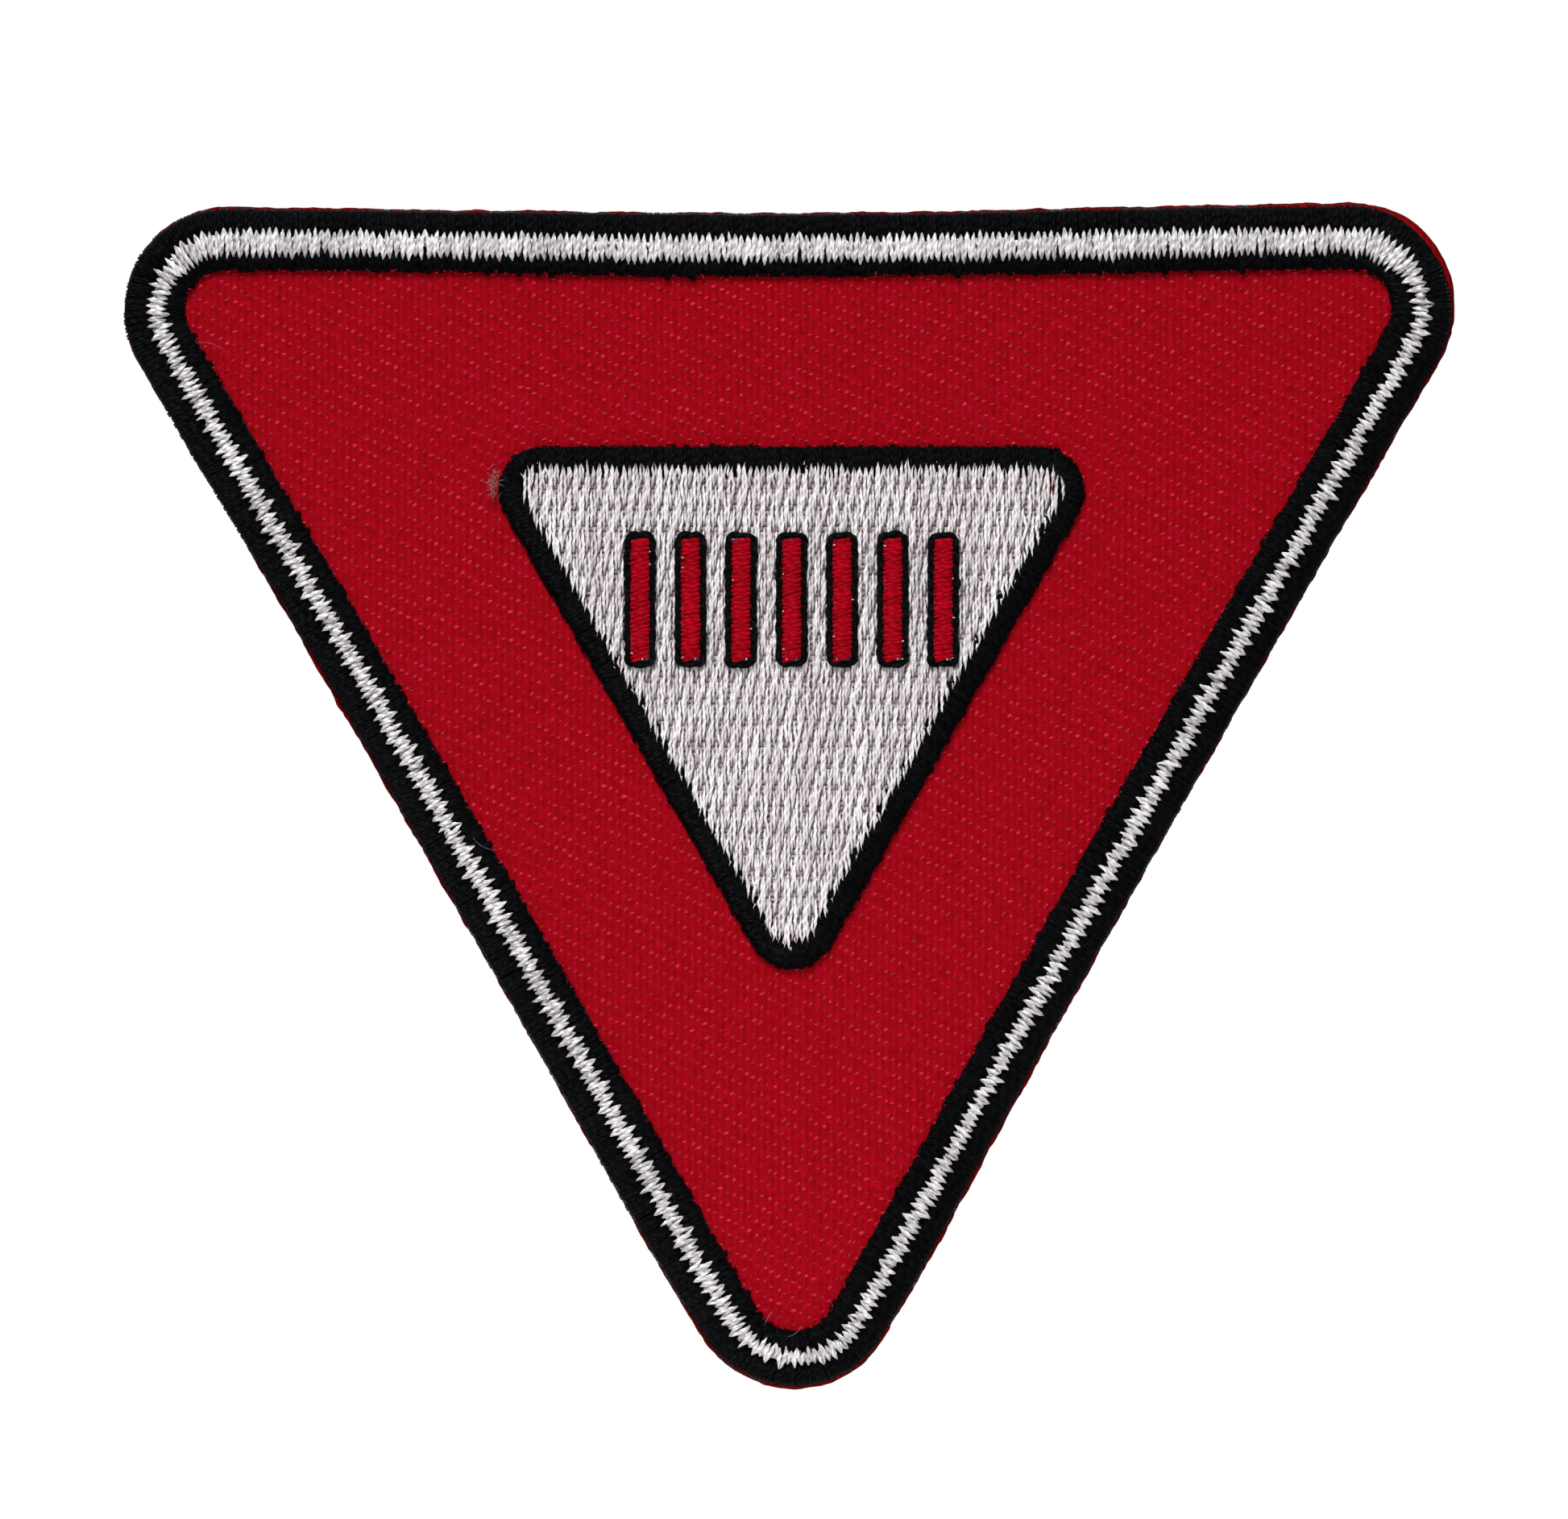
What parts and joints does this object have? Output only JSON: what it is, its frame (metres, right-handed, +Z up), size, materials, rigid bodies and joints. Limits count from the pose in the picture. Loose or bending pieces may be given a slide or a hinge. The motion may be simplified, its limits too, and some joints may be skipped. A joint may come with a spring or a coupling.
{
  "type": "embroidered patch",
  "caption": "Flat embroidered iron-on patch: point-down rounded triangle of red twill with satin-stitched border bands, a small edged inner triangle and a row of plain bars.",
  "frame": {"origin": "on the flat heat-seal back, at the centre that the nested triangles share (the incentre of the outline)", "axes": "+X to the right as the face is seen, +Z up with the triangle's point down, and the stitched face looks along -Y; +Y is the outward normal of the flat back"},
  "size_m": [0.0888, 0.0019, 0.0793],
  "materials": {
    "film": "satin",
    "stabilizer": "matte",
    "red_twill": "matte",
    "black_thread": "satin",
    "white_thread": "satin",
    "red_thread": "satin",
    "underlay_thread": "matte",
    "bobbin_thread": "matte"
  },
  "bodies": {
    "root": {"adhesive_film": "film", "stabilizer": "stabilizer", "twill_base": "red_twill", "border_black_outer": "black_thread", "border_white": "white_thread", "border_black_inner": "black_thread", "panel_edge": "black_thread", "panel_fill": "white_thread", "bar_1": "red_thread", "bar_2": "red_thread", "bar_3": "red_thread", "bar_4": "red_thread", "bar_5": "red_thread", "bar_6": "red_thread", "bar_7": "red_thread", "bar_outline_1": "black_thread", "bar_outline_2": "black_thread", "bar_outline_3": "black_thread", "bar_outline_4": "black_thread", "bar_outline_5": "black_thread", "bar_outline_6": "black_thread", "bar_outline_7": "black_thread", "underlay_border_outer": "underlay_thread", "underlay_border_white": "underlay_thread", "underlay_border_inner": "underlay_thread", "underlay_panel_edge": "underlay_thread", "underlay_panel_fill": "underlay_thread", "underlay_bars": "underlay_thread", "bobbin_border_outer": "bobbin_thread", "bobbin_border_white": "bobbin_thread", "bobbin_border_inner": "bobbin_thread", "bobbin_panel_edge": "bobbin_thread", "bobbin_panel_fill": "bobbin_thread", "bobbin_bars": "bobbin_thread"}
  },
  "joints": []
}
